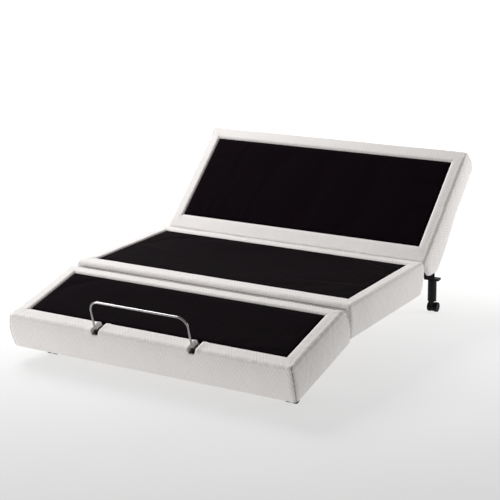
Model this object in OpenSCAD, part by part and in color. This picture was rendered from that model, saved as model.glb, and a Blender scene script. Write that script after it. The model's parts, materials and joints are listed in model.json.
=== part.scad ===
// Adjustable bed base, queen size: three upholstered deck sections on a steel base frame with casters.
// Millimetres. +Z up, +Y towards the head end, +X to the right seen from the foot end.
// Origin on the floor, centred under the base as it stands with the head section raised.

/* [Deck] */
// Width over the upholstered sides
bed_w = 1524; // [1500:2:1540]
// Height of the level deck top above the floor
deck_h = 360; // [358:1:366]
// Length of the middle section
mid_l = 785; // [775:1:800]
// Length of the foot section
foot_l = 502; // [490:1:510]
// Length of the head section
head_l = 693; // [670:1:710]
// Depth of the middle section's skirt
mid_skirt = 161; // [150:1:162]
// Depth of the foot section's skirt
foot_skirt = 173; // [150:1:175]
// Depth of the head section's skirt
head_skirt = 130; // [120:1:132]
// Depth of the head section's skirt at the hip
hip_skirt = 162; // [150:1:162]
// Thickness of the upholstered skirt walls
skirt_t = 20; // [14:1:24]
// Thickness of the padded border on the deck boards
pad_t = 25; // [24:1:26]
// Thickness of the deck boards
board_t = 15; // [12:1:15]

/* [Pose] */
// Angle of the head section above level
head_rise = 42.6; // [10:0.1:58]
// Angle of the foot section below level
foot_drop = 13.9; // [4:0.1:14]

/* [Borders] */
// Head section border at the sides
hb_side = 66; // [50:1:80]
// Head section border at the hip
hb_low = 106; // [80:1:120]
// Head section border at the far end
hb_top = 69; // [50:1:80]
// Middle section border at the sides
mb_side = 60; // [45:1:75]
// Middle section border at the knee
mb_front = 92; // [60:1:100]
// Middle section border at the hip
mb_rear = 76; // [60:1:90]
// Foot section border at the sides
fb_side = 70; // [55:1:85]
// Foot section border at the free end
fb_front = 84; // [70:1:95]
// Foot section border at the knee
fb_rear = 62; // [50:1:75]

/* [Mattress bar] */
// Width of the mattress bar between rod centres
bar_w = 522; // [460:2:560]
// Height of the mattress bar above the foot deck
bar_h = 150; // [120:1:180]
// Diameter of the mattress bar's rod
bar_d = 9.5; // [9:0.5:12]

/* [Legs] */
// Diameter of the leg tubes
leg_d = 45; // [38:1:50]
// Diameter of the caster wheels
wheel_d = 50; // [46:1:52]

/* [Hidden] */
$fn = 48;

y0 = -410;                         // front face of the middle section
hw = bed_w/2;
knee_gap = 30;
hip_gap = 22;
ky = y0 - knee_gap/2;              // knee hinge axis
kz = deck_h - 60;
hy = y0 + mid_l + hip_gap + 12;    // hip hinge axis
hz = deck_h - 40;
foot_y1 = y0 - knee_gap;
foot_y0 = foot_y1 - foot_l;
head_y0 = y0 + mid_l + hip_gap;
head_y1 = head_y0 + head_l;
board_z1 = deck_h - pad_t;
board_z0 = board_z1 - board_t;
rail_z0 = 186; rail_z1 = 216; rail_x = 665; rail_w = 50;
pad_z = 180;                       // underside of the leg pads
leg_xf = 656; leg_xr = 672; leg_yf = y0 - 359; leg_yr = y0 + 1089;
hx = 620;                          // hinge bracket plates
axle_trail = 18;
arm_x = 130;                       // actuators' distance from the centre line
// lift arm pins: lever about the hinge, angle from +Y with the section level
head_r = 120; head_a0 = -120;
foot_r = 100; foot_a0 = -82;
function pin_at(cy, cz, r, a) = [cy + r*cos(a), cz + r*sin(a)];
hp = pin_at(hy, hz, head_r, head_a0 + head_rise);
fp = pin_at(ky, kz, foot_r, foot_a0 + foot_drop);
ha = [y0 + 408, 262];              // head actuator's rear pivot
fa = [y0 + 352, 262];              // foot actuator's rear pivot
h_ang = atan2(hp[1]-ha[1], hp[0]-ha[0]);
f_ang = atan2(fp[1]-fa[1], fp[0]-fa[0]);
h_len = norm(hp - ha);
f_len = norm(fp - fa);

module at_foot() translate([0, ky, kz]) rotate([foot_drop, 0, 0]) translate([0, -ky, -kz]) children();
module at_head() translate([0, hy, hz]) rotate([head_rise, 0, 0]) translate([0, -hy, -hz]) children();
module box(x0, x1, ya, yb, za, zb) translate([x0, ya, za]) cube([x1-x0, yb-ya, zb-za]);
module both() { children(); mirror([1, 0, 0]) children(); }
// solid of a side profile drawn in Y and Z, between two X positions
module along_x(x0, x1) translate([x0, 0, 0]) rotate([90, 0, 90]) linear_extrude(x1-x0) children();
module along_y(ya, yb) translate([0, yb, 0]) rotate([90, 0, 0]) linear_extrude(yb-ya) children();
module cyl_x(x0, x1, y, z, r) translate([x0, y, z]) rotate([0, 90, 0]) cylinder(h = x1-x0, r = r);
module round_top(a0, a1, b0, b1, r) {
  translate([a0, b0]) square([a1-a0, b1-r-b0]);
  translate([a0+r, b0]) square([a1-a0-2*r, b1-b0]);
  translate([a0+r, b1-r]) circle(r);
  translate([a1-r, b1-r]) circle(r);
}
module round_rect(x0, x1, ya, yb, r) {
  translate([x0+r, ya]) square([x1-x0-2*r, yb-ya]);
  translate([x0, ya+r]) square([x1-x0, yb-ya-2*r]);
  for (x = [x0+r, x1-r]) for (y = [ya+r, yb-r]) translate([x, y]) circle(r);
}
// rectangular steel tube, open at its ends, along X or Y
module tube_y(x0, x1, ya, yb, za, zb, t) difference() {
  box(x0, x1, ya, yb, za, zb);
  box(x0+t, x1-t, ya-1, yb+1, za+t, zb-t);
}
module tube_x(x0, x1, ya, yb, za, zb, t) difference() {
  box(x0, x1, ya, yb, za, zb);
  box(x0-1, x1+1, ya+t, yb-t, za+t, zb-t);
}
// padded cover of one section: side profile rounded at both ends, hollow below, window for the top panel
module cover(ya, yb, zb, side, la, lb, wall_a, wall_b) {
  difference() {
    intersection() {
      along_x(-hw, hw) round_top(ya, yb, zb, deck_h, 24);
      along_y(ya, yb) round_top(-hw, hw, zb, deck_h, 24);
      translate([0, 0, zb]) linear_extrude(deck_h-zb) round_rect(-hw, hw, ya, yb, 14);
    }
    box(-hw+skirt_t, hw-skirt_t, ya + (wall_a ? skirt_t : -1), yb - (wall_b ? skirt_t : -1), zb-1, board_z1);
    box(-hw+side, hw-side, ya+la, yb-lb, zb, deck_h+1);
  }
}
module panel(ya, yb, side, la, lb) difference() {
  box(-hw+side+0.5, hw-side-0.5, ya+la+0.5, yb-lb-0.5, board_z1, deck_h-3);
}
module deck_board(ya, yb) box(-hw+skirt_t+1, hw-skirt_t-1, ya, yb, board_z0, board_z1);

// ---- base frame -------------------------------------------------------------
module side_rail() tube_y(rail_x-rail_w/2, rail_x+rail_w/2, leg_yf-45, y0+870, rail_z0, rail_z1, 2.5);
module side_rails() color([.06, .06, .065]) both() side_rail();
// inner rails from the centre cross rail to the rear legs, with the welded spacers that tie them to the side rails
module rear_rails() color([.06, .06, .065]) both() {
  tube_y(566, 602, y0+395, leg_yr-15, rail_z0, rail_z1, 2.5);
  tube_x(602, rail_x-rail_w/2, y0+840, y0+868, rail_z0, rail_z1, 2.5);
}
module cross_rail(y, za, zb) tube_x(-rail_x+rail_w/2, rail_x-rail_w/2, y-15, y+15, za, zb, 2.5);
module cross_rail_front() color([.06, .06, .065]) difference() {
  cross_rail(leg_yf, 172, 197);
  each_leg() box(-42, 42, -18, 18, 150, rail_z0);
}
module cross_rail_center() color([.06, .06, .065]) cross_rail(y0+380, rail_z0, rail_z1);
module cross_rail_rear() color([.06, .06, .065]) tube_x(-leg_xr-6, leg_xr+6, leg_yr-15, leg_yr+15, rail_z0, rail_z1, 2.5);
module at_leg(sx, y) translate([sx*(y == leg_yf ? leg_xf : leg_xr), y, 0]) children();
module each_leg() for (sx = [-1, 1]) for (y = [leg_yf, leg_yr]) at_leg(sx, y) children();
module leg_pads() color([.05, .05, .055]) each_leg() difference() {
  box(-40, 40, -17, 17, pad_z, rail_z0);
  translate([0, 0, pad_z-8]) cylinder(h = 30, r = 6.2);
}
module leg_studs() color([.5, .5, .52]) each_leg() translate([0, 0, 130]) cylinder(h = 56, r = 6);
module leg_flanges() color([.05, .05, .055]) each_leg() difference() {
  box(-39, 39, -16, 16, pad_z-6, pad_z);
  translate([0, 0, 150]) cylinder(h = 30, r = 6);
}
module leg_tubes() color([.04, .04, .045]) each_leg() difference() {
  translate([0, 0, 62]) cylinder(h = pad_z-6-62, r = leg_d/2);
  translate([0, 0, 130]) cylinder(h = pad_z-130, r = 6);
  translate([0, 0, 55]) cylinder(h = 40, r = 5.5);
}
module caster_stems() color([.6, .6, .62]) each_leg() {
  translate([0, 0, 44]) cylinder(h = 51, r = 5.5);
  translate([0, 0, 59.3]) cylinder(h = 2.7, r = 12);
}
module deck_risers() color([.06, .06, .065]) both() for (y = [y0+60, y0+400, y0+700])
  tube_z(rail_x-20, rail_x+20, y-20, y+20, rail_z1, board_z0);
module tube_z(x0, x1, ya, yb, za, zb) difference() {
  box(x0, x1, ya, yb, za, zb);
  box(x0+2, x1-2, ya+2, yb-2, za-1, zb+1);
}
// plate from the side rail up to a hinge axis
module hinge_bracket(y, z, yr) difference() {
  union() {
    along_x(hx-3, hx+3) {
      polygon([[yr-26, rail_z0+2], [yr+26, rail_z0+2], [y+11, z-8], [y-11, z-8]]);
      translate([y, z]) circle(14);
    }
    box(hx+3, rail_x-rail_w/2, yr-26, yr+26, rail_z0+2, rail_z0+8);
  }
  cyl_x(hx-20, hx+20, y, z, 6);
}
module head_hinge_brackets() color([.06, .06, .065]) both() hinge_bracket(hy, hz, hy-10);
module foot_hinge_brackets() color([.06, .06, .065]) both() hinge_bracket(ky, kz, ky+20);
module hinge_pin(y, z) { cyl_x(hx-16, hx+5, y, z, 6); cyl_x(hx+3, hx+8, y, z, 10); cyl_x(hx-19, hx-16, y, z, 9); }
module hinge_pins() color([.6, .6, .62]) both() { hinge_pin(hy, hz); hinge_pin(ky, kz); }
module rear_bracket(x, y, z, s) for (k = [-1, 1]) difference() {
  along_x(x+k*21-2.5, x+k*21+2.5) {
    translate([y, z]) circle(13);
    polygon([[y0+380-18, rail_z1], [y0+380+18, rail_z1], [y+12, z-2], [y-12, z-2]]);
  }
  cyl_x(x+k*21-5, x+k*21+5, y, z, 5.2);
}
module actuator_brackets() color([.06, .06, .065]) { rear_bracket(-arm_x, ha[0], ha[1]); rear_bracket(arm_x, fa[0], fa[1]); }
module rear_pin(x, p) { cyl_x(x-25, x+25, p[0], p[1], 5); cyl_x(x+24, x+28, p[0], p[1], 8); }
module actuator_rear_pins() color([.6, .6, .62]) { rear_pin(-arm_x, ha); rear_pin(arm_x, fa); }
module control_box() color([.09, .09, .1]) difference() {
  box(300, 500, y0+440, y0+570, board_z0-58, board_z0-4);
  box(303, 497, y0+443, y0+567, board_z0-50, board_z0);
  box(330, 358, y0+560, y0+580, board_z0-40, board_z0-20);
}
module control_box_lid() color([.1, .1, .11]) box(292, 508, y0+436, y0+574, board_z0-4, board_z0);
module mains_inlet() color([.04, .04, .045]) difference() {
  box(330, 358, y0+550, y0+572, board_z0-40, board_z0-20);
  box(333, 355, y0+555, y0+575, board_z0-37, board_z0-23);
}

// ---- middle section ---------------------------------------------------------
module mid_deck_board() color([.72, .56, .38]) deck_board(y0+15, y0+mid_l-15);
module mid_border() color([.9, .88, .84]) difference() {
  cover(y0, y0+mid_l, deck_h-mid_skirt, mb_side, mb_front, mb_rear, false, false);
  // rear end leans in towards its lower edge
  along_x(-hw-1, hw+1) polygon([[y0+mid_l+1, deck_h-32], [y0+mid_l+1, deck_h-mid_skirt-1], [y0+mid_l-34, deck_h-mid_skirt-1]]);
}
module mid_top_panel() color([.08, .06, .08]) panel(y0, y0+mid_l, mb_side, mb_front, mb_rear);

// ---- head section -----------------------------------------------------------
head_screw_y = [hy+120, hy+320, hy+520];
module head_deck_board() color([.72, .56, .38]) at_head() difference() {
  deck_board(head_y0+6, head_y1-skirt_t-1);
  both() box(hx-22, hx+10, head_y0, hy+17, board_z0-1, board_z1+1);
  screw_holes(head_screw_y);
}
module head_border() color([.9, .88, .84]) at_head() difference() {
  cover(head_y0, head_y1, deck_h-hip_skirt, hb_side, hb_low, hb_top, false, true);
  // lower edge: deeper towards the hip, with the corner under the hip cut off level
  along_x(-hw-1, hw+1) polygon([[head_y0+165, deck_h-hip_skirt], [head_y0+165, deck_h-hip_skirt-5], [head_y1+1, deck_h-hip_skirt-5],
    [head_y1+1, deck_h-head_skirt], [head_y0+405, deck_h-head_skirt]]);
  along_x(-hw-1, hw+1) polygon([[head_y0-1, deck_h-100], [head_y0, deck_h-100], [head_y0+(hip_skirt-100)/0.92, deck_h-hip_skirt],
    [head_y0+(hip_skirt-100)/0.92, deck_h-hip_skirt-5], [head_y0-1, deck_h-hip_skirt-5]]);
}
module head_top_panel() color([.08, .06, .08]) at_head() panel(head_y0, head_y1, hb_side, hb_low, hb_top);
module head_subframe() color([.06, .06, .065]) at_head() {
  difference() {
    both() tube_y(hx-42, hx-12, hy+34, head_y1-60, board_z0-20, board_z0, 2);
    screw_holes(head_screw_y);
  }
  for (y = [hy+50, head_y1-90]) tube_x(-hx+42, hx-42, y-15, y+15, board_z0-20, board_z0, 2);
  both() difference() {
    along_x(hx-12, hx-6) {
      translate([hy, hz]) circle(13);
      polygon([[hy, hz-13], [hy+12, hz-1], [hy+90, board_z0-1], [hy+90, board_z0-20]]);
    }
    cyl_x(hx-20, hx, hy, hz, 6.05);
  }
}
// lift arm: two plates from the sub-frame's cross tube down to a slot for the push rod's pin
module lift_plates(x, cy, cz, r, a, yt, s0, s1, w) for (k = [-1, 1]) difference() {
  along_x(x+k*19-2.5, x+k*19+2.5) {
    p = pin_at(cy, cz, r, a);
    translate(pin_at(cy, cz, s1-4, a)) circle(24);
    translate(pin_at(cy, cz, s0, a)) circle(24);
    polygon([[p[0] + 22*sin(a), p[1] - 22*cos(a)], [p[0] - 22*sin(a), p[1] + 22*cos(a)],
             [yt[1], board_z0-20], [yt[0], board_z0-20]]);
  }
  for (s = [s0, s1]) cyl_x(x+k*19-5, x+k*19+5, pin_at(cy, cz, s, a)[0], pin_at(cy, cz, s, a)[1], w/2);
  translate([x+k*19-5, cy, cz]) rotate([a, 0, 0]) translate([0, s0, -w/2]) cube([10, s1-s0, w]);
}
module head_lift_arm() color([.06, .06, .065]) at_head()
  lift_plates(-arm_x, hy, hz, head_r, head_a0, [hy+37, hy+63], head_r-4, head_r+14.5, 18);
// screws up through the sub-frame tubes into the deck boards
module section_screws(ys) both() for (y = ys) translate([hx-27, y, board_z0-23]) { cylinder(h = 3, r = 7); cylinder(h = 23 + board_t-4, r = 2.5); }
module screw_holes(ys) both() for (y = ys) translate([hx-27, y, board_z0-24]) cylinder(h = 24 + board_t-4, r = 2.5);
module head_deck_screws() color([.6, .6, .62]) at_head() section_screws(head_screw_y);

// ---- foot section -----------------------------------------------------------
foot_screw_y = [ky-120, ky-260, ky-400];
module foot_deck_board() color([.72, .56, .38]) at_foot() difference() {
  deck_board(foot_y0+skirt_t+1, foot_y1-15);
  screw_holes(foot_screw_y);
}
module foot_border() color([.9, .88, .84]) at_foot() difference() {
  cover(foot_y0, foot_y1, deck_h-foot_skirt, fb_side, fb_front, fb_rear, true, false);
  for (s = [-1, 1]) box(s*bar_w/2-15, s*bar_w/2+15, foot_y0-1, foot_y0+fb_front+1, deck_h-20, deck_h+1);
}
module foot_top_panel() color([.08, .06, .08]) at_foot() panel(foot_y0, foot_y1, fb_side, fb_front, fb_rear);
module foot_subframe() color([.06, .06, .065]) at_foot() {
  difference() {
    both() tube_y(hx-42, hx-12, foot_y0+60, ky-34, board_z0-20, board_z0, 2);
    screw_holes(foot_screw_y);
  }
  for (y = [ky-50, foot_y0+90]) tube_x(-hx+42, hx-42, y-15, y+15, board_z0-20, board_z0, 2);
  both() difference() {
    along_x(hx-12, hx-6) {
      translate([ky, kz]) circle(13);
      polygon([[ky, kz-13], [ky, kz+13], [ky-60, board_z0-1], [ky-90, board_z0-1], [ky-90, board_z0-20]]);
    }
    cyl_x(hx-20, hx, ky, kz, 6.05);
  }
}
module foot_lift_arm() color([.06, .06, .065]) at_foot()
  lift_plates(arm_x, ky, kz, foot_r, foot_a0, [ky-63, ky-37], foot_r-7.5, foot_r+1, 15);
// deck bolts and the four screws of the bar's brackets
module foot_screws() {
  color([.05, .05, .055]) at_foot() section_screws(foot_screw_y);
  retainer_screws();
}

// ---- mattress retainer bar --------------------------------------------------
bar_r = 50;                        // bend radius of the rod
bar_y = foot_y0 + 12;
module retainer_bar() color([.8, .8, .82]) at_foot() translate([0, bar_y, 0]) {
  both() translate([bar_w/2, 0, deck_h-12]) cylinder(h = bar_h-bar_r+12, r = bar_d/2);
  both() translate([bar_w/2-bar_r, 0, deck_h+bar_h-bar_r]) rotate([90, 0, 0]) rotate_extrude(angle = 90) translate([bar_r, 0]) circle(bar_d/2);
  translate([-bar_w/2+bar_r, 0, deck_h+bar_h]) rotate([0, 90, 0]) cylinder(h = bar_w-2*bar_r, r = bar_d/2);
}
module retainer_brackets() color([.05, .05, .055]) at_foot() for (s = [-1, 1]) translate([s*bar_w/2, 0, 0]) difference() {
  union() {
    box(-13, 13, bar_y-9, foot_y0+fb_front-2, deck_h-20, deck_h-16);
    translate([0, bar_y, deck_h-20]) cylinder(h = 22, r = 9);
  }
  translate([0, bar_y, deck_h-12]) cylinder(h = 30, r = bar_d/2);
  for (y = [36, 66]) translate([0, foot_y0+y, deck_h-30]) cylinder(h = 30, r = 2.6);
}
module retainer_screws() color([.05, .05, .055]) at_foot() for (s = [-1, 1]) for (y = [36, 66]) translate([s*bar_w/2, foot_y0+y, 0]) {
  translate([0, 0, deck_h-16]) cylinder(h = 3.5, r = 5.5);
  translate([0, 0, deck_h-20]) cylinder(h = 4, r = 2.6);
}

// ---- linear actuators: drawn along +Y from their rear pivot ------------------
module at_act(p, a, x) translate([x, p[0], p[1]]) rotate([a, 0, 0]) children();
module gear_housing() difference() {
  union() {
    cyl_x(-17, 17, 0, 0, 14);
    box(-17, 17, 0, 34, -14, 14);
    box(-31, 31, 30, 92, -28, 28);
  }
  cyl_x(-20, 20, 0, 0, 5.06);
  translate([0, 93, 0]) rotate([90, 0, 0]) cylinder(h = 27, r = 19);
  translate([0, 67, 0]) rotate([90, 0, 0]) cylinder(h = 22, r = 12);
}
module act_motor() {
  translate([0, 60, -28]) rotate([180, 0, 0]) cylinder(h = 92, r = 29);
  translate([0, 60, -120]) rotate([180, 0, 0]) cylinder(h = 8, r = 18);
}
module act_tube(l) difference() {
  translate([0, 66, 0]) rotate([-90, 0, 0]) cylinder(h = l-66, r = 19);
  translate([0, 70, 0]) rotate([-90, 0, 0]) cylinder(h = l, r = 14.06);
  translate([0, 60, 0]) rotate([-90, 0, 0]) cylinder(h = 20, r = 7.1);
}
// lead screw with the worm wheel that turns it
module lead_screw(l) {
  translate([0, 46, 0]) rotate([-90, 0, 0]) cylinder(h = l-46, r = 7);
  translate([0, 47, 0]) rotate([-90, 0, 0]) cylinder(h = 16, r = 11.5);
}
module act_rod(l, total) difference() {
  union() {
    translate([0, total-l, 0]) rotate([-90, 0, 0]) cylinder(h = l-12, r = 14);
    cyl_x(-15, 15, total, 0, 14);
  }
  cyl_x(-18, 18, total, 0, 6);
  translate([0, total-l-1, 0]) rotate([-90, 0, 0]) cylinder(h = l-24, r = 7.08);
}
module rod_pin(total) { cyl_x(-23, 23, total, 0, 6); cyl_x(-26, -22, total, 0, 9); cyl_x(22, 26, total, 0, 9); }
h_tube = 300; f_tube = 262;
module head_gear_housing() color([.12, .12, .13]) at_act(ha, h_ang, -arm_x) gear_housing();
module head_motor() color([.1, .1, .11]) at_act(ha, h_ang, -arm_x) act_motor();
module head_outer_tube() color([.62, .63, .64]) at_act(ha, h_ang, -arm_x) act_tube(h_tube);
module head_lead_screw() color([.55, .55, .57]) at_act(ha, h_ang, -arm_x) lead_screw(300);
module head_push_rod() color([.75, .76, .77]) at_act(ha, h_ang, -arm_x) act_rod(230, h_len);
module head_rod_pin() color([.6, .6, .62]) at_act(ha, h_ang, -arm_x) rod_pin(h_len);
module at_foot_act() translate([arm_x, fa[0], fa[1]]) rotate([f_ang, 0, 0]) children();
module foot_gear_housing() color([.12, .12, .13]) at_foot_act() gear_housing();
module foot_motor() color([.1, .1, .11]) at_foot_act() rotate([0, 180, 0]) act_motor();
module foot_outer_tube() color([.62, .63, .64]) at_foot_act() act_tube(f_tube);
module foot_lead_screw() color([.55, .55, .57]) at_foot_act() lead_screw(280);
module foot_push_rod() color([.75, .76, .77]) at_foot_act() act_rod(190, f_len);
module foot_rod_pin() color([.6, .6, .62]) at_foot_act() rod_pin(f_len);

// ---- casters: drawn at the swivel axis, wheels trailing towards +Y -----------
module caster_hood() difference() {
  union() {
    cyl_x(-7, 7, axle_trail, wheel_d/2, wheel_d/2-2);
    translate([0, 0, 36]) cylinder(h = 23, r = 8.5);
    box(-7, 7, 0, axle_trail, 30, wheel_d-2);
  }
  translate([0, 0, 43.5]) cylinder(h = 20, r = 5.56);
  cyl_x(-20, 20, axle_trail, wheel_d/2, 3);
}
module caster_axle() cyl_x(-25, 25, axle_trail, wheel_d/2, 3);
module caster_wheels() for (k = [-1, 1]) difference() {
  union() {
    cyl_x(k*17.5-8.5, k*17.5+8.5, axle_trail, wheel_d/2, wheel_d/2-1.5);
    cyl_x(k*17.5-6.5, k*17.5+6.5, axle_trail, wheel_d/2, wheel_d/2);
  }
  cyl_x(k*17.5-12, k*17.5+12, axle_trail, wheel_d/2, 3.05);
}

side_rails();
rear_rails();
cross_rail_front();
cross_rail_center();
cross_rail_rear();
leg_pads();
deck_risers();
leg_studs();
leg_flanges();
leg_tubes();
caster_stems();
head_hinge_brackets();
foot_hinge_brackets();
hinge_pins();
actuator_brackets();
actuator_rear_pins();
control_box();
control_box_lid();
mains_inlet();
mid_deck_board();
mid_border();
mid_top_panel();
head_deck_board();
head_border();
head_top_panel();
head_subframe();
head_lift_arm();
head_deck_screws();
foot_deck_board();
foot_border();
foot_top_panel();
foot_subframe();
foot_lift_arm();
foot_screws();
retainer_bar();
retainer_brackets();
head_gear_housing();
head_motor();
head_outer_tube();
head_lead_screw();
head_push_rod();
head_rod_pin();
foot_gear_housing();
foot_motor();
foot_outer_tube();
foot_lead_screw();
foot_push_rod();
foot_rod_pin();
color([.05, .05, .05]) at_leg(-1, leg_yf) caster_hood();  // caster_hood_fl
color([.6, .6, .62]) at_leg(-1, leg_yf) caster_axle();  // caster_axle_fl
color([.04, .04, .04]) at_leg(-1, leg_yf) caster_wheels();  // caster_wheels_fl
color([.05, .05, .05]) at_leg(1, leg_yf) caster_hood();  // caster_hood_fr
color([.6, .6, .62]) at_leg(1, leg_yf) caster_axle();  // caster_axle_fr
color([.04, .04, .04]) at_leg(1, leg_yf) caster_wheels();  // caster_wheels_fr
color([.05, .05, .05]) at_leg(-1, leg_yr) caster_hood();  // caster_hood_rl
color([.6, .6, .62]) at_leg(-1, leg_yr) caster_axle();  // caster_axle_rl
color([.04, .04, .04]) at_leg(-1, leg_yr) caster_wheels();  // caster_wheels_rl
color([.05, .05, .05]) at_leg(1, leg_yr) caster_hood();  // caster_hood_rr
color([.6, .6, .62]) at_leg(1, leg_yr) caster_axle();  // caster_axle_rr
color([.04, .04, .04]) at_leg(1, leg_yr) caster_wheels();  // caster_wheels_rr
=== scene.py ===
import json
import math

import bpy
import numpy as np
from mathutils import Matrix, Vector


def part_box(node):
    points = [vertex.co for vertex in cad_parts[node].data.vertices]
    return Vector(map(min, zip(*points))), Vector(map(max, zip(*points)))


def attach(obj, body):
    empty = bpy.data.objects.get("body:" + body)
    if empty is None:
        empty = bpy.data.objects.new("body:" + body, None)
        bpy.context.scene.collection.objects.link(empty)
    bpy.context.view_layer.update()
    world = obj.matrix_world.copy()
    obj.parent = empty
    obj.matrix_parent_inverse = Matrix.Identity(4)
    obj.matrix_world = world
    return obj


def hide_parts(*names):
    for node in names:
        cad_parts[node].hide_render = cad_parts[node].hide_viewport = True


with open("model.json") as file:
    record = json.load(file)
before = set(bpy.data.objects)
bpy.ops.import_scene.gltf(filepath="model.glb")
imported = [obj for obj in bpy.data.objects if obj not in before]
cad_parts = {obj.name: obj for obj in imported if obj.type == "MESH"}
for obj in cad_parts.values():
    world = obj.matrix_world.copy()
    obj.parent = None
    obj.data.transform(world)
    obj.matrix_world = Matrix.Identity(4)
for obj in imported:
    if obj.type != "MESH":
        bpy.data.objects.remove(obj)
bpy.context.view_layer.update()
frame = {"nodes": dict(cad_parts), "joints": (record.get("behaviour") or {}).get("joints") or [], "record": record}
NODES = frame["nodes"]
scene = bpy.context.scene
rng = np.random.default_rng(7)

# ---------------------------------------------------------------- sizes, from the frame
J = {j["name"]: j for j in frame["joints"]}
mid_lo, mid_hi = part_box("mid_border")
W2 = mid_hi.x                                   # half width
T = mid_hi.z                                    # level deck top
Y0, Y1 = mid_lo.y, mid_hi.y                     # middle section, knee and hip faces
HIP = Vector(J["head_hinge"]["pos_m"])
KNEE = Vector(J["foot_hinge"]["pos_m"])
RISE, DROP = math.radians(42.6), math.radians(13.9)
HEAD_A, HEAD_B = HIP.y - 0.012, HIP.y - 0.012 + 0.693     # head section, as if level
FOOT_B = KNEE.y - 0.015
FOOT_A = FOOT_B - 0.502
PAD, WALL = 0.025, 0.020


def turn(pivot, angle):
    return Matrix.Translation(pivot) @ Matrix.Rotation(angle, 4, "X") @ Matrix.Translation(-pivot)


AT_HEAD, AT_FOOT, AT_MID = turn(HIP, RISE), turn(KNEE, DROP), Matrix.Identity(4)


# ---------------------------------------------------------------- material helpers
def new_mat(name):
    m = bpy.data.materials.new(name)
    m.use_nodes = True
    nt = m.node_tree
    b = nt.nodes.get("Principled BSDF")
    return m, nt, b


def N(nt, kind, **kw):
    n = nt.nodes.new(kind)
    for k, v in kw.items():
        if k.startswith("i_"):
            key = k[2:]
            n.inputs[int(key) if key.isdigit() else key.replace("_", " ")].default_value = v
        else:
            setattr(n, k, v)
    return n


def L(nt, a, ao, b, bi):
    nt.links.new(a.outputs[ao], b.inputs[bi])


def ramp(nt, stops, interp="LINEAR"):
    r = nt.nodes.new("ShaderNodeValToRGB")
    r.color_ramp.interpolation = interp
    els = r.color_ramp.elements
    while len(els) < len(stops):
        els.new(0.5)
    for e, (p, c) in zip(els, stops):
        e.position = p
        e.color = c if len(c) == 4 else (*c, 1)
    return r


def mathn(nt, op, a=None, b=None):
    n = nt.nodes.new("ShaderNodeMath")
    n.operation = op
    for i, v in enumerate((a, b)):
        if v is None:
            continue
        if isinstance(v, (int, float)):
            n.inputs[i].default_value = v
        else:
            nt.links.new(v, n.inputs[i])
    return n.outputs[0]


def bump_chain(nt, bsdf, items):
    """items: (height socket, strength, distance in metres)"""
    last = None
    for h, s, d in items:
        b = nt.nodes.new("ShaderNodeBump")
        b.inputs["Strength"].default_value = s
        b.inputs["Distance"].default_value = d
        nt.links.new(h, b.inputs["Height"])
        if last is not None:
            nt.links.new(last, b.inputs["Normal"])
        last = b.outputs["Normal"]
    nt.links.new(last, bsdf.inputs["Normal"])


CHEV, RIDGE, SLOPE = 0.140, 0.0155, 1.75        # zigzag period, ridge spacing, steepness


def cream_fabric():
    m, nt, b = new_mat("cream_damask")
    uv = N(nt, "ShaderNodeUVMap", uv_map="cloth")
    sep = N(nt, "ShaderNodeSeparateXYZ")
    L(nt, uv, 0, sep, 0)
    u, v = sep.outputs[0], sep.outputs[1]
    tri = mathn(nt, "PINGPONG", u, CHEV / 2)                       # 0..CHEV/2
    nz = N(nt, "ShaderNodeTexNoise", i_Scale=14.0, i_Detail=2.0)
    L(nt, uv, 0, nz, "Vector")
    wob = mathn(nt, "MULTIPLY", nz.outputs[0], 0.006)
    ph = mathn(nt, "ADD", mathn(nt, "ADD", v, mathn(nt, "MULTIPLY", tri, SLOPE)), wob)
    rid = mathn(nt, "SINE", mathn(nt, "MULTIPLY", ph, 2 * math.pi / (RIDGE * SLOPE)))
    rid01 = mathn(nt, "ADD", mathn(nt, "MULTIPLY", rid, 0.5), 0.5)
    fine = mathn(nt, "SINE", mathn(nt, "MULTIPLY", ph, 2 * math.pi / (RIDGE * SLOPE / 4)))
    fine01 = mathn(nt, "ADD", mathn(nt, "MULTIPLY", fine, 0.5), 0.5)
    # woven yarns, 1.4 mm
    wx = mathn(nt, "SINE", mathn(nt, "MULTIPLY", u, 2 * math.pi / 0.0014))
    wy = mathn(nt, "SINE", mathn(nt, "MULTIPLY", v, 2 * math.pi / 0.0014))
    weave = mathn(nt, "MULTIPLY", wx, wy)
    big = N(nt, "ShaderNodeTexNoise", i_Scale=5.0, i_Detail=3.0)
    L(nt, uv, 0, big, "Vector")
    c = ramp(nt, [(0.0, (0.665, 0.638, 0.622)), (1.0, (0.805, 0.790, 0.780))])
    mixv = mathn(nt, "ADD", mathn(nt, "MULTIPLY", rid01, 0.45), mathn(nt, "MULTIPLY", fine01, 0.2))
    mixv = mathn(nt, "ADD", mixv, mathn(nt, "MULTIPLY", big.outputs[0], 0.5))
    nt.links.new(mixv, c.inputs[0])
    L(nt, c, 0, b, "Base Color")
    rr = ramp(nt, [(0.0, (0.72,) * 3), (1.0, (0.9,) * 3)])
    nt.links.new(rid01, rr.inputs[0])
    L(nt, rr, 0, b, "Roughness")
    b.inputs["Sheen Weight"].default_value = 0.25
    b.inputs["Sheen Roughness"].default_value = 0.5
    b.inputs["Specular IOR Level"].default_value = 0.3
    bump_chain(nt, b, [(rid01, 0.55, 0.0012), (fine01, 0.35, 0.0004), (weave, 0.25, 0.00025)])
    return m


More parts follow.
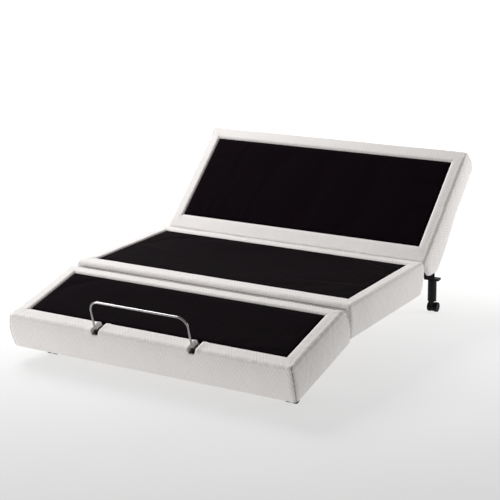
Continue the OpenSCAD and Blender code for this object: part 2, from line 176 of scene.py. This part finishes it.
def black_fabric():
    m, nt, b = new_mat("black_deck_cloth")
    tc = N(nt, "ShaderNodeTexCoord")
    sep = N(nt, "ShaderNodeSeparateXYZ")
    L(nt, tc, "Object", sep, 0)
    x, y, z = sep.outputs
    # needle-punched, slightly twilled cloth
    tw = mathn(nt, "SINE", mathn(nt, "MULTIPLY", mathn(nt, "ADD", x, y), 2 * math.pi / 0.0022))
    fuzz = N(nt, "ShaderNodeTexNoise", i_Scale=900.0, i_Detail=2.0)
    L(nt, tc, "Object", fuzz, "Vector")
    blot = N(nt, "ShaderNodeTexNoise", i_Scale=9.0, i_Detail=4.0)
    L(nt, tc, "Object", blot, "Vector")
    c = ramp(nt, [(0.25, (0.0022, 0.0008, 0.0018)), (0.8, (0.0044, 0.0020, 0.0038))])
    L(nt, blot, 0, c, 0)
    L(nt, c, 0, b, "Base Color")
    r = ramp(nt, [(0.2, (0.80,) * 3), (0.8, (0.95,) * 3)])
    L(nt, blot, 0, r, 0)
    L(nt, r, 0, b, "Roughness")
    b.inputs["Sheen Weight"].default_value = 0.01
    b.inputs["Sheen Roughness"].default_value = 0.4
    b.inputs["Specular IOR Level"].default_value = 0.02
    bump_chain(nt, b, [(tw, 0.3, 0.0003), (fuzz.outputs[0], 0.5, 0.0004)])
    return m


def paint(name, col, rough, grain=700.0, wear=None, coat=0.0, spec=0.5):
    """powder coat or moulded plastic: fine orange peel, slight colour and roughness variation"""
    m, nt, b = new_mat(name)
    tc = N(nt, "ShaderNodeTexCoord")
    g = N(nt, "ShaderNodeTexNoise", i_Scale=grain, i_Detail=2.0)
    L(nt, tc, "Object", g, "Vector")
    v = N(nt, "ShaderNodeTexNoise", i_Scale=18.0, i_Detail=5.0)
    L(nt, tc, "Object", v, "Vector")
    lo = tuple(x * 0.8 for x in col)
    hi = tuple(min(1, x * 1.25 + 0.002) for x in col)
    c = ramp(nt, [(0.3, lo), (0.7, hi)])
    L(nt, v, 0, c, 0)
    if wear:
        # rubbed edges: brighter where the surface is convex
        geo = N(nt, "ShaderNodeNewGeometry")
        wr = ramp(nt, [(0.52, (0, 0, 0)), (0.60, (1, 1, 1))])
        L(nt, geo, "Pointiness", wr, 0)
        mix = N(nt, "ShaderNodeMix", data_type="RGBA")
        mix.inputs[0].default_value = 0.0
        nt.links.new(mathn(nt, "MULTIPLY", wr.outputs[0], mathn(nt, "MULTIPLY", v.outputs[0], 0.5)), mix.inputs[0])
        nt.links.new(c.outputs[0], mix.inputs[6])
        mix.inputs[7].default_value = (*wear, 1)
        nt.links.new(mix.outputs[2], b.inputs["Base Color"])
    else:
        L(nt, c, 0, b, "Base Color")
    r = ramp(nt, [(0.3, (rough * 0.88,) * 3), (0.7, (min(1, rough * 1.12),) * 3)])
    L(nt, v, 0, r, 0)
    L(nt, r, 0, b, "Roughness")
    b.inputs["Coat Weight"].default_value = coat
    b.inputs["Specular IOR Level"].default_value = spec
    bump_chain(nt, b, [(g.outputs[0], 0.25, 0.0002)])
    return m


def metal(name, col, rough, brush=(1, 1, 1), scale=300.0, strength=0.1):
    m, nt, b = new_mat(name)
    tc = N(nt, "ShaderNodeTexCoord")
    mp = N(nt, "ShaderNodeMapping")
    mp.inputs["Scale"].default_value = brush
    L(nt, tc, "Object", mp, 0)
    g = N(nt, "ShaderNodeTexNoise", i_Scale=scale, i_Detail=3.0)
    L(nt, mp, 0, g, "Vector")
    c = ramp(nt, [(0.3, tuple(x * 0.86 for x in col)), (0.7, col)])
    L(nt, g, 0, c, 0)
    L(nt, c, 0, b, "Base Color")
    r = ramp(nt, [(0.3, (rough * 0.8,) * 3), (0.7, (rough * 1.3,) * 3)])
    L(nt, g, 0, r, 0)
    L(nt, r, 0, b, "Roughness")
    b.inputs["Metallic"].default_value = 1.0
    bump_chain(nt, b, [(g.outputs[0], strength, 0.0001)])
    return m


def wood():
    m, nt, b = new_mat("plywood_board")
    tc = N(nt, "ShaderNodeTexCoord")
    mp = N(nt, "ShaderNodeMapping")
    mp.inputs["Scale"].default_value = (1.2, 9.0, 9.0)
    L(nt, tc, "Object", mp, 0)
    n1 = N(nt, "ShaderNodeTexNoise", i_Scale=3.0, i_Detail=5.0, i_Distortion=1.2)
    L(nt, mp, 0, n1, "Vector")
    wv = mathn(nt, "SINE", mathn(nt, "MULTIPLY", n1.outputs[0], 60.0))
    w01 = mathn(nt, "ADD", mathn(nt, "MULTIPLY", wv, 0.5), 0.5)
    mp2 = N(nt, "ShaderNodeMapping")
    mp2.inputs["Scale"].default_value = (8.0, 260.0, 260.0)
    L(nt, tc, "Object", mp2, 0)
    n2 = N(nt, "ShaderNodeTexNoise", i_Scale=2.0, i_Detail=3.0)
    L(nt, mp2, 0, n2, "Vector")
    f = mathn(nt, "ADD", mathn(nt, "MULTIPLY", w01, 0.55), mathn(nt, "MULTIPLY", n2.outputs[0], 0.5))
    c = ramp(nt, [(0.15, (0.36, 0.235, 0.125)), (0.6, (0.56, 0.40, 0.235)), (1.0, (0.66, 0.50, 0.32))])
    nt.links.new(f, c.inputs[0])
    L(nt, c, 0, b, "Base Color")
    r = ramp(nt, [(0.0, (0.55,) * 3), (1.0, (0.75,) * 3)])
    nt.links.new(f, r.inputs[0])
    L(nt, r, 0, b, "Roughness")
    bump_chain(nt, b, [(f, 0.3, 0.0003)])
    return m


CREAM, BLACK = cream_fabric(), black_fabric()


def thread():
    m, nt, b = new_mat("sewn_welt_and_crease_shade")
    uv = N(nt, "ShaderNodeUVMap", uv_map="cloth")
    sep = N(nt, "ShaderNodeSeparateXYZ")
    L(nt, uv, 0, sep, 0)
    st = mathn(nt, "SINE", mathn(nt, "MULTIPLY", sep.outputs[0], 2 * math.pi / 0.004))
    s01 = mathn(nt, "ADD", mathn(nt, "MULTIPLY", st, 0.5), 0.5)
    # painted shade: this dark cord colour also stands in for the shaded crease where the welts run along the hinge
    # ends; on the corner seams it is the cord's own colour
    c = ramp(nt, [(0.0, (0.16, 0.145, 0.135)), (1.0, (0.34, 0.315, 0.30))])
    nt.links.new(s01, c.inputs[0])
    L(nt, c, 0, b, "Base Color")
    b.inputs["Roughness"].default_value = 0.85
    bump_chain(nt, b, [(s01, 0.5, 0.0005)])
    return m


WELT_AND_CREASE_SHADE = thread()
FRAME_PAINT = paint("frame_powder_coat", (0.0030, 0.0024, 0.0030), 0.5, grain=900.0, wear=(0.018, 0.017, 0.019), spec=0.16)
MOTOR = paint("motor_satin_black", (0.018, 0.018, 0.020), 0.33, grain=1200.0, coat=0.1)
PLASTIC = paint("black_moulded_plastic", (0.0035, 0.0030, 0.0036), 0.55, grain=1800.0, spec=0.18)
RUBBER = paint("wheel_rubber", (0.0035, 0.0032, 0.0036), 0.7, grain=500.0, spec=0.16)
CHROME = metal("bar_chrome", (0.36, 0.35, 0.35), 0.16, scale=60.0, strength=0.03)
ZINC = metal("zinc_plate", (0.62, 0.63, 0.66), 0.32, scale=420.0)
ALU = metal("drawn_aluminium", (0.66, 0.67, 0.68), 0.3, brush=(60, 1, 60), scale=30.0)
PLY = wood()

SLOT_MAT = {"cover_fabric": CREAM, "deck_fabric": BLACK, "plywood": PLY, "chrome": CHROME, "black_plastic": PLASTIC,
            "wheel_rubber": RUBBER, "aluminium_tube": ALU, "zinc_steel": ZINC, "motor_paint": MOTOR, "frame_paint": FRAME_PAINT}
node_slot = {s["node"]: s["material_slot"] for s in frame["record"]["subparts"]}
for name, o in NODES.items():
    o.data.materials.clear()
    o.data.materials.append(SLOT_MAT[node_slot[name]])
    for p in o.data.polygons:
        p.material_index = 0


# ---------------------------------------------------------------- mesh helpers
def make_mesh(name, verts, faces, mat, matrix=None, uv=None, smooth=True):
    me = bpy.data.meshes.new(name)
    me.from_pydata([tuple(v) for v in verts], [], [tuple(int(i) for i in f) for f in faces])
    me.validate()
    if uv is not None:
        layer = me.uv_layers.new(name="cloth")
        layer.data.foreach_set("uv", np.asarray(uv, np.float32).ravel())
    if smooth:
        me.polygons.foreach_set("use_smooth", [True] * len(me.polygons))
    o = bpy.data.objects.new(name, me)
    scene.collection.objects.link(o)
    if matrix is not None:
        me.transform(matrix)
    me.materials.append(mat)
    me.update()
    return o


def smoothstep(t):
    t = np.clip(t, 0, 1)
    return t * t * (3 - 2 * t)


def settle(o, pinned, pressure, cap, grow, frames=18):
    """inflate a padded piece as cloth over its filling: pinned points stay, the rest may move by cap at most"""
    me = o.data
    base = np.zeros(len(me.vertices) * 3, np.float32)
    me.vertices.foreach_get("co", base)
    base = base.reshape(-1, 3)
    g = o.vertex_groups.new(name="pin")
    g.add([int(i) for i in np.flatnonzero(pinned)], 1.0, "REPLACE")
    c = o.modifiers.new("cloth", "CLOTH")
    st = c.settings
    st.quality = 4
    st.mass = 0.25
    st.tension_stiffness = st.compression_stiffness = 12
    st.shear_stiffness = 4
    st.bending_stiffness = 0.25
    st.use_pressure = True
    st.uniform_pressure_force = pressure
    st.vertex_group_mass = "pin"
    st.pin_stiffness = 1.0
    st.shrink_min = -grow
    st.effector_weights.gravity = 0
    c.collision_settings.use_collision = False
    c.point_cache.frame_start, c.point_cache.frame_end = 1, frames
    for f in range(1, frames + 1):
        scene.frame_set(f)
    ev = o.evaluated_get(bpy.context.evaluated_depsgraph_get())
    co = np.zeros(len(ev.data.vertices) * 3, np.float32)
    ev.data.vertices.foreach_get("co", co)
    d = co.reshape(-1, 3) - base
    d[~np.isfinite(d)] = 0
    ln = np.linalg.norm(d, axis=1)
    d *= (cap * np.tanh(ln / cap) / np.maximum(ln, 1e-9))[:, None]
    o.modifiers.remove(c)
    me.vertices.foreach_set("co", (base + d).ravel())
    me.update()
    scene.frame_set(1)
    print("settled", o.name, "raw motion up to %.1f mm, mean %.2f mm" % (ln.max() * 1000, ln.mean() * 1000))


def wavy(x, y, seed, scale):
    """smooth seeded noise in -1..1 from a few sines"""
    r = np.random.default_rng(seed)
    out = np.zeros(np.broadcast(x, y).shape)
    tot = 0
    for k in range(7):
        a, f, p = r.uniform(0, math.tau), r.uniform(0.6, 2.4) / scale, r.uniform(0, math.tau)
        w = 1 / (0.5 + f * scale)
        out = out + w * np.sin((x * math.cos(a) + y * math.sin(a)) * f * math.tau + p)
        tot += w
    return out / tot * 1.8


def perimeter(ya, yb, ra, rb, step):
    """closed rounded rectangle, counter-clockwise from the middle of the right side; points, normals, arc length.
    ra: corner radius at ya, rb: at yb"""
    pts, nrm = [], []

    def line(p, q, n):
        k = max(2, int(np.hypot(*(np.subtract(q, p))) / step))
        for i in range(k):
            t = i / k
            pts.append((p[0] + (q[0] - p[0]) * t, p[1] + (q[1] - p[1]) * t))
            nrm.append(n)

    def arc(c, r, a0, a1):
        k = max(8, int(abs(a1 - a0) * r / step * 1.4))
        for i in range(k):
            a = a0 + (a1 - a0) * i / k
            pts.append((c[0] + r * math.cos(a), c[1] + r * math.sin(a)))
            nrm.append((math.cos(a), math.sin(a)))

    h = math.pi / 2
    ym = (ya + yb) / 2
    line((W2, ym), (W2, yb - rb), (1, 0)); arc((W2 - rb, yb - rb), rb, 0, h)
    line((W2 - rb, yb), (-W2 + rb, yb), (0, 1)); arc((-W2 + rb, yb - rb), rb, h, 2 * h)
    line((-W2, yb - rb), (-W2, ya + ra), (-1, 0)); arc((-W2 + ra, ya + ra), ra, 2 * h, 3 * h)
    line((-W2 + ra, ya), (W2 - ra, ya), (0, -1)); arc((W2 - ra, ya + ra), ra, 3 * h, 4 * h)
    line((W2, ya + ra), (W2, ym), (1, 0))
    P, Nn = np.array(pts), np.array(nrm, float)
    d = np.hypot(*(np.roll(P, -1, 0) - P).T)
    return P, Nn, np.concatenate([[0], np.cumsum(d)[:-1]]), d.sum()


def welt(name, line, matrix, body, r=0.0016):
    """thin sewn cord following a line on the cover"""
    me = np.vstack([line])
    d = np.gradient(me, axis=0)
    d /= np.maximum(np.linalg.norm(d, axis=1), 1e-9)[:, None]
    ref = np.array([0.31, 0.17, 0.93])
    a = np.cross(d, ref)
    a /= np.linalg.norm(a, axis=1)[:, None]
    b = np.cross(d, a)
    k = 6
    verts, faces, luv = [], [], []
    for i, p in enumerate(me):
        for t in range(k):
            g = t * math.tau / k
            verts.append(p + (a[i] * math.cos(g) + b[i] * math.sin(g)) * r)
    run = np.concatenate([[0], np.cumsum(np.linalg.norm(np.diff(me, axis=0), axis=1))])
    for i in range(len(me) - 1):
        for t in range(k):
            t2 = (t + 1) % k
            faces.append((i * k + t, i * k + t2, (i + 1) * k + t2, (i + 1) * k + t))
            luv += [(run[i], t * 0.001), (run[i], t * 0.001 + 0.001), (run[i + 1], t * 0.001 + 0.001), (run[i + 1], t * 0.001)]
    o = make_mesh(name, verts, faces, WELT_AND_CREASE_SHADE, matrix, uv=luv)
    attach(o, body)
    return o


def cover(name, matrix, ya, yb, depth, side, la, lb, wall_a, wall_b, seed, lean=0.0, notches=(), body="base", low=None, roll=0.022, tight=False, swell=0.0052):
    """upholstered border and skirt of one section: a closed padded band round the deck, swept along its outline"""
    step = 0.0065 if notches else 0.010
    ra, rb = (0.020 if wall_a else 0.012), (0.020 if wall_b else 0.012)
    P, Nn, S, total = perimeter(ya, yb, ra, rb, step)
    n = len(P)
    # window rectangle, and where each outline point meets it
    wx, wa, wb = W2 - side, ya + la, yb - lb
    cx, cy = np.clip(P[:, 0], -wx, wx), np.clip(P[:, 1], wa, wb)
    I = np.stack([cx, cy], 1)
    toI = I - P
    width = np.hypot(*toI.T)
    dirI = toI / width[:, None]
    # depth of the skirt round the outline: shallow across an end without a wall
    full = np.ones(n, bool)
    if not wall_b:
        full &= ~((P[:, 1] > yb - 1e-4) & (np.abs(P[:, 0]) < W2 - 0.020))
    if not wall_a:
        full &= ~((P[:, 1] < ya + 1e-4) & (np.abs(P[:, 0]) < W2 - 0.020))
    deep = np.full(n, depth) if low is None else T - low(P[:, 1])
    D = np.where(full, deep, 0.043)
    # rolled top edge: soft along the sides and at the hinges, tighter at the head end
    r = np.full(n, roll)
    if tight:
        r = roll + (0.008 - roll) * smoothstep((P[:, 1] - (yb - 0.075)) / 0.06)
        # the hip end turns over a fuller roll
        r = r + (0.031 - roll) * (1 - smoothstep((P[:, 1] - ya) / 0.040))
    prof = []           # (kind, value)
    for t in np.linspace(0, 1, 15):
        prof.append(("top", t))                       # window edge -> start of the rolled edge
    for t in np.linspace(0, 1, 9)[1:]:
        prof.append(("roll", t))
    for t in np.linspace(0, 1, 25)[1:]:
        prof.append(("side", t))
    for t in np.linspace(0, 1, 5)[1:]:
        prof.append(("hem", t))
    for t in np.linspace(0, 1, 5)[1:]:
        prof.append(("in", t))
    for t in np.linspace(0, 1, 4)[1:-1]:
        prof.append(("under", t))
    prof.append(("lip", 0.0))
    prof.append(("lip", 0.55))
    m = len(prof)
    V = np.zeros((n, m, 3))
    UV = np.zeros((n, m, 2))
    hem = 0.005
    wall = 0.0195
    for j, (kind, t) in enumerate(prof):
        if kind == "top":
            e = width - r
            a = width - e * t                          # inward distance from the outline
            z = T + 0.0010 * np.sin(np.pi * min(1, t * 1.15 + 0.05)) - 0.0065 * (1 - smoothstep(t * 5.0)) + 0 * a
            v = (width - a)
        elif kind == "roll":
            ang = t * math.pi / 2
            a = r - r * math.sin(ang) + 0 * width
            z = T - r + r * math.cos(ang) + 0 * a
            v = width - r + r * ang
        elif kind == "side":
            h = np.maximum(D - r - hem, 0.0)
            z = T - r - h * t
            # the filled wall swells out a little between the roll's crease and the hem
            bulge = (swell * np.sin(np.pi * t) ** 0.8 + 0.0012) * np.minimum(1, h / 0.08)
            bulge = bulge - 0.0022 * np.exp(-((t * h) / 0.0045) ** 2) * np.minimum(1, h / 0.08)
            a = -bulge
            v = width - r + r * math.pi / 2 + h * t
        elif kind == "hem":
            h = np.maximum(D - r - hem, 0.0)
            ang = t * math.pi
            rr = np.minimum(wall / 2, 0.5 * wall) + 0 * width
            a = rr - rr * math.cos(ang)
            z = T - r - h - hem * math.sin(ang)
            v = width - r + r * math.pi / 2 + h + 0.02 * t
        elif kind == "in":
            h = np.maximum(D - r - hem, 0.0)
            z = (T - r - h) + ((T - PAD + 0.0004) - (T - r - h)) * t
            a = wall + 0 * width
            v = width + h + 0.05 + 0.1 * t
        elif kind == "under":
            a = wall + (width - wall) * t
            z = T - PAD + 0.0004 + 0 * a
            v = width + 0.3 + 0 * a
        else:
            a = width + 0 * width
            z = (T - PAD + 0.0004) + t * (PAD - 0.008) + 0 * a
            v = width * 0 - 0.02 * (1 - t)
        q = P + dirI * a[:, None]
        # on the outside the band follows the outline's own normal
        if kind in ("roll", "side", "hem", "in"):
            q = P - Nn * a[:, None]
            if kind == "roll":
                k = 1 - t
                q = (P + dirI * a[:, None]) * k + q * (1 - k)
        V[:, j, 0], V[:, j, 1], V[:, j, 2] = q[:, 0], q[:, 1], z
        UV[:, j, 0], UV[:, j, 1] = S, v
    # lean the far ends of the side skirts in towards their lower edge
    if lean:
        z = V[..., 2]
        y = V[..., 1]
        amount = np.clip((T - 0.030 - z) / (depth - 0.030), 0, 1.02) * lean
        V[..., 1] -= amount * smoothstep((y - (yb - 0.16)) / 0.15)
    # puckers and soft waves, strongest on the skirts
    kinds = np.array([k for k, _ in prof])
    outer = np.isin(kinds, ["side", "roll", "hem"])
    top = kinds == "top"
    wave = wavy(UV[..., 0], UV[..., 1] * 0.5, seed, 0.34) * 0.0011
    tuck = wavy(UV[..., 0], UV[..., 1] * 0.16, seed + 5, 0.085) * 0.0005
    chev = (UV[..., 1] + np.abs((UV[..., 0] % CHEV) - CHEV / 2) * SLOPE) / (RIDGE * SLOPE * 3)
    pillow = 0.0005 * np.sin(chev * math.tau)
    tvals = np.array([t for _, t in prof])
    fade = np.where(top, np.sin(np.pi * np.clip(tvals, 0, 1)) * 0.6, 0) + np.where(outer, 1.0, 0)
    fade = fade * np.where(kinds == "hem", 0.35, 1)
    disp = (wave + tuck + pillow) * fade[None, :]
    nx, ny = Nn[:, 0][:, None], Nn[:, 1][:, None]
    side_like = np.isin(kinds, ["side", "hem"]).astype(float)[None, :]
    rollf = (kinds == "roll").astype(float) * np.sin(tvals * math.pi / 2)
    h_amt = disp * (side_like + rollf[None, :])
    v_amt = disp * (top.astype(float) + (kinds == "roll") * np.cos(tvals * math.pi / 2))[None, :]
    V[..., 0] += nx * h_amt
    V[..., 1] += ny * h_amt * (0.4 if True else 1)
    V[..., 2] += v_amt
    # notches for the mattress bar: the padding dips to a slot with rolled lips
    for xc in notches:
        x, y = V[..., 0], V[..., 1]
        dx = np.abs(x - xc)
        near = (y < ya + la + 0.002) & (kinds != "under")[None, :] & (kinds != "in")[None, :] & (V[..., 2] > T - 0.05)
        lip = np.exp(-((dx - 0.027) / 0.009) ** 2) * 0.0026
        dip = (1 - smoothstep((dx - 0.0125) / 0.0055)) * 0.0235
        hz = np.where(near, lip - dip, 0.0)
        zt = V[..., 2] + hz
        floor_z = T - 0.0232
        deepz = V[..., 2] < floor_z
        V[..., 2] = np.where(near & ~deepz, np.maximum(zt, floor_z), V[..., 2])
        # the face below the slot is pulled in a little
        V[..., 1] += np.where((y < ya + 0.004) & (V[..., 2] < T - 0.012), 0.0016 * np.exp(-(dx / 0.02) ** 2) * np.exp(-((T - 0.03 - V[..., 2]) / 0.03) ** 2), 0)
    verts = V.reshape(-1, 3)
    idx = np.arange(n * m).reshape(n, m)
    faces, luv = [], []
    for i in range(n):
        i2 = (i + 1) % n
        s0, s1 = S[i], (S[i2] if i2 else total)
        a, b2 = idx[i], idx[i2]
        for j in range(m):
            j2 = (j + 1) % m
            faces.append((a[j2], b2[j2], b2[j], a[j]))
            va, vb, vc, vd = UV[i, j2, 1], UV[i2, j2, 1], UV[i2, j, 1], UV[i, j, 1]
            luv += [(s0, va), (s1, vb), (s1, vc), (s0, vd)]
    o = make_mesh(name, verts, faces, CREAM, matrix, uv=luv)
    # sewn seams down the corners of a closed end
    seams = []
    walls = ([ya] if wall_a else []) + ([yb] if wall_b else [])
    for yw in walls:
        for sx in (-1, 1):
            k = np.argmin(np.abs(P[:, 0] - sx * (W2 - 0.3 * ra)) + np.abs(P[:, 1] - yw - math.copysign(0.3 * ra, (ya + yb) / 2 - yw)))
            seams.append([V[k, j] for j in range(18, m) if kinds[j] in ("top", "roll", "side", "hem")][:-2])
    js = [j for j in range(m) if kinds[j] == "roll"][-1]
    # dark welts along the open hinge ends: real piping, and its dark colour is also painted shade, drawn as the
    # shaded crease between sections
    ends = ([ya] if not wall_a else []) + ([yb] if not wall_b else [])
    for yw in ends:
        on = [i for i in range(n) if abs(P[i, 1] - yw) < 1e-4 and abs(P[i, 0]) < W2 - 0.016]
        # on the head's hip end the dark welt sits three profile rows further up the roll, where the crease's shade
        # shows
        jj = js - 3 if (tight and yw == ya) else js
        seams.append([V[i, jj] + np.array([0, math.copysign(0.0005, yw - (ya + yb) / 2), 0.0002]) for i in on])
    for k, line in enumerate(seams):
        welt(name + "_seam_%d" % k, np.array(line), matrix, body)
    return o


def top_panel(name, matrix, ya, yb, side, la, lb, seed):
    """black padded deck panel: a crowned closed slab with soft corners and a few puckers"""
    x0, x1, a, b = -W2 + side + 0.001, W2 - side - 0.001, ya + la + 0.001, yb - lb - 0.001
    step = 0.010
    nx, ny = int((x1 - x0) / step), int((b - a) / step)
    X, Y = np.meshgrid(np.linspace(x0, x1, nx), np.linspace(a, b, ny), indexing="ij")
    edge = np.minimum(np.minimum(X - x0, x1 - X), np.minimum(Y - a, b - Y))
    top = T - 0.0036
    Z = top - 0.0034 * (1 - np.sqrt(np.clip(1 - (1 - np.clip(edge / 0.012, 0, 1)) ** 2, 0, 1)))
    inner = smoothstep(edge / 0.10)
    Z += wavy(X, Y, seed, 0.55) * 0.0009 * inner
    # creases that run in from the ends
    rr = np.random.default_rng(seed)
    for _ in range(9):
        cy0 = rr.uniform(a + 0.03, b - 0.03)
        left = rr.random() < 0.65
        ln = rr.uniform(0.10, 0.34)
        sl = rr.uniform(-0.35, 0.35)
        dx = (X - x0) if left else (x1 - X)
        dy = (Y - cy0 - sl * dx)
        Z += 0.0011 * rr.uniform(0.5, 1.0) * np.exp(-(dy / 0.010) ** 2) * np.exp(-(dx / ln) ** 2) * smoothstep(edge / 0.02)
    if name.startswith("head"):
        for _ in range(8):
            cx0 = rr.uniform(x0 + 0.02, x0 + 0.42)
            ln = rr.uniform(0.12, 0.30)
            sl = rr.uniform(-0.25, 0.25)
            up = rr.random() < 0.5
            dy = (b - Y) if up else (Y - a)
            dx = X - cx0 - sl * dy
            Z += 0.0012 * rr.uniform(0.5, 1.0) * np.exp(-(dx / 0.011) ** 2) * np.exp(-(dy / ln) ** 2) * smoothstep(edge / 0.02)
    top_v = np.stack([X, Y, Z], -1).reshape(-1, 3)
    low = np.stack([X, Y, np.full_like(X, T - PAD + 0.0006)], -1).reshape(-1, 3)
    k = nx * ny
    id2 = np.arange(k).reshape(nx, ny)
    faces = []
    for i in range(nx - 1):
        for j in range(ny - 1):
            faces.append((id2[i, j], id2[i + 1, j], id2[i + 1, j + 1], id2[i, j + 1]))
    # underside as one ring of quads to its own grid edge
    ring = list(id2[:, 0]) + list(id2[-1, 1:]) + list(id2[-2::-1, -1]) + list(id2[0, -2:0:-1])
    low_ring = {v: k + t for t, v in enumerate(ring)}
    verts = list(top_v) + [low[v] for v in ring]
    R = len(ring)
    for t in range(R):
        p, q = ring[t], ring[(t + 1) % R]
        faces.append((q, p, low_ring[p], low_ring[q]))
    faces.append(tuple(low_ring[v] for v in reversed(ring)))
    o = make_mesh(name, verts, faces, BLACK, matrix)
    pin = np.ones(len(verts), bool)
    pin[:k] = (edge < 0.004).ravel()
    settle(o, pin, 0.10, 0.0028, 0.002)
    return o


def head_low(y):
    """lower edge of the head section's skirt, as if level"""
    z = np.where(y < HEAD_A + 0.165, T - 0.162, T - 0.162 + 0.032 * np.clip((y - HEAD_A - 0.165) / 0.240, 0, 1))
    return np.maximum(z, T - 0.100 - 0.92 * (y - HEAD_A))


sections = [
    ("foot", AT_FOOT, FOOT_A, FOOT_B, 0.173, 0.070, 0.084, 0.062, True, False, 11, 0.0, (-0.261, 0.261), "foot_section"),
    ("mid", AT_MID, Y0, Y1, 0.161, 0.060, 0.092, 0.076, False, False, 23, 0.034, (), "base"),
    ("head", AT_HEAD, HEAD_A, HEAD_B, 0.130, 0.066, 0.106, 0.069, False, True, 37, 0.0, (), "head_section"),
]
for nm, mtx, ya, yb, dep, side, la, lb, wa, wb, seed, lean, notch, body in sections:
    c = cover(nm + "_cover", mtx, ya, yb, dep, side, la, lb, wa, wb, seed, lean, notch, body, head_low if nm == "head" else None,
              0.018 if nm == "head" else 0.022, nm == "head", 0.0095 if nm == "foot" else 0.0055)
    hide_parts(nm + "_border")
    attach(c, body)
    p = top_panel(nm + "_pad", mtx, ya, yb, side, la, lb, seed + 100)
    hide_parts(nm + "_top_panel")
    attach(p, body)

# soft bevelled edges, limited by angle, on the carried-over pieces
for name, o in NODES.items():
    if o.hide_render:
        continue
    mod = o.modifiers.new("soft_edges", "BEVEL")
    mod.width = 0.0008
    mod.segments = 2
    mod.limit_method = "ANGLE"
    mod.angle_limit = math.radians(40)
    mod.harden_normals = False

# ---------------------------------------------------------------- floor, light, camera
def cyclorama():
    xs = np.linspace(-14, 14, 2)
    prof = [(-9.0, 0.0), (7.0, 0.0)]
    for t in np.linspace(0, 1, 17)[1:]:
        a = t * math.pi / 2
        prof.append((7.0 + 4 * math.sin(a), 4 - 4 * math.cos(a)))
    prof.append((11.0, 12.0))
    verts, faces = [], []
    for y, z in prof:
        for x in xs:
            verts.append((x, y, z - 0.0005))
    for i in range(len(prof) - 1):
        faces.append((2 * i, 2 * i + 1, 2 * i + 3, 2 * i + 2))
    m, nt, b = new_mat("studio_floor")
    tc = N(nt, "ShaderNodeTexCoord")
    sep = N(nt, "ShaderNodeSeparateXYZ")
    L(nt, tc, "Object", sep, 0)
    n = N(nt, "ShaderNodeTexNoise", i_Scale=2.0, i_Detail=3.0)
    L(nt, tc, "Object", n, "Vector")
    # dark base under the painted glow, so the bed's cast shadows on the floor stay faint
    c = ramp(nt, [(0.0, (0.19, 0.19, 0.191)), (1.0, (0.21, 0.21, 0.211))])
    L(nt, n, 0, c, 0)
    L(nt, c, 0, b, "Base Color")
    b.inputs["Roughness"].default_value = 0.95
    b.inputs["Specular IOR Level"].default_value = 0.05
    # painted light: the floor glows, paler with distance as on a lit sweep; the glow fills in the bed's cast shadows
    # and lights the bed from below
    far = mathn(nt, "ADD", mathn(nt, "MULTIPLY", sep.outputs[1], 1 / 9.0), 0.36)
    g = ramp(nt, [(0.0, (0.42, 0.415, 0.418)), (0.20, (0.58, 0.58, 0.58)), (0.42, (0.80, 0.80, 0.80)), (0.68, (0.95, 0.95, 0.95)), (1.0, (1.0, 1.0, 1.0))])
    nt.links.new(far, g.inputs[0])
    L(nt, g, 0, b, "Emission Color")
    b.inputs["Emission Strength"].default_value = 1.0
    o = make_mesh("studio_floor", verts, faces, m)
    o.rotation_euler = (0, 0, math.radians(31))
    return o


cyclorama()


def area(name, loc, target, size, power, col=(1, 1, 1), shape="RECTANGLE", size_y=None):
    d = bpy.data.lights.new(name, "AREA")
    d.shape = shape
    d.size = size
    d.size_y = size_y or size
    d.energy = power
    d.color = col
    o = bpy.data.objects.new(name, d)
    scene.collection.objects.link(o)
    o.location = loc
    o.rotation_euler = (Vector(target) - Vector(loc)).to_track_quat("-Z", "Y").to_euler()
    return o


area("key", (-3.4, 0.9, 4.2), (0, 0, 0.3), 2.8, 286, (1.0, 1.0, 1.0))
area("front_fill", (-4.3, -4.9, 1.15), (-0.2, -0.8, 0.2), 2.2, 170, (1.0, 0.99, 0.985))
area("rear_side", (2.9, 2.2, 0.95), (0.76, 0.55, 0.45), 1.2, 46, (1.0, 1.0, 1.0))
w = bpy.data.worlds.new("studio")
scene.world = w
w.use_nodes = True
w.node_tree.nodes["Background"].inputs[0].default_value = (1, 0.94, 0.905, 1)
w.node_tree.nodes["Background"].inputs[1].default_value = 0.2

cam = bpy.data.cameras.new("camera")
cam_o = bpy.data.objects.new("camera", cam)
scene.collection.objects.link(cam_o)
az, el, roll = math.radians(31.306), math.radians(15.724), math.radians(-0.955)
back = Vector((math.sin(az) * math.cos(el), -math.cos(az) * math.cos(el), math.sin(el)))
right = Vector((math.cos(az), math.sin(az), 0))
up = back.cross(right)
r2 = math.cos(roll) * right + math.sin(roll) * up
u2 = -math.sin(roll) * right + math.cos(roll) * up
M = Matrix(((r2.x, u2.x, back.x), (r2.y, u2.y, back.y), (r2.z, u2.z, back.z))).to_4x4()
M.translation = Vector((3.5173, Y0 - 5.3788, T + 1.96))
cam_o.matrix_world = M
cam.sensor_width = 36
cam.lens = 1432.3 * 36 / 500
cam.clip_end = 60
scene.camera = cam_o

scene.view_settings.view_transform = "Standard"
scene.view_settings.look = "None"
scene.view_settings.exposure = 0.0
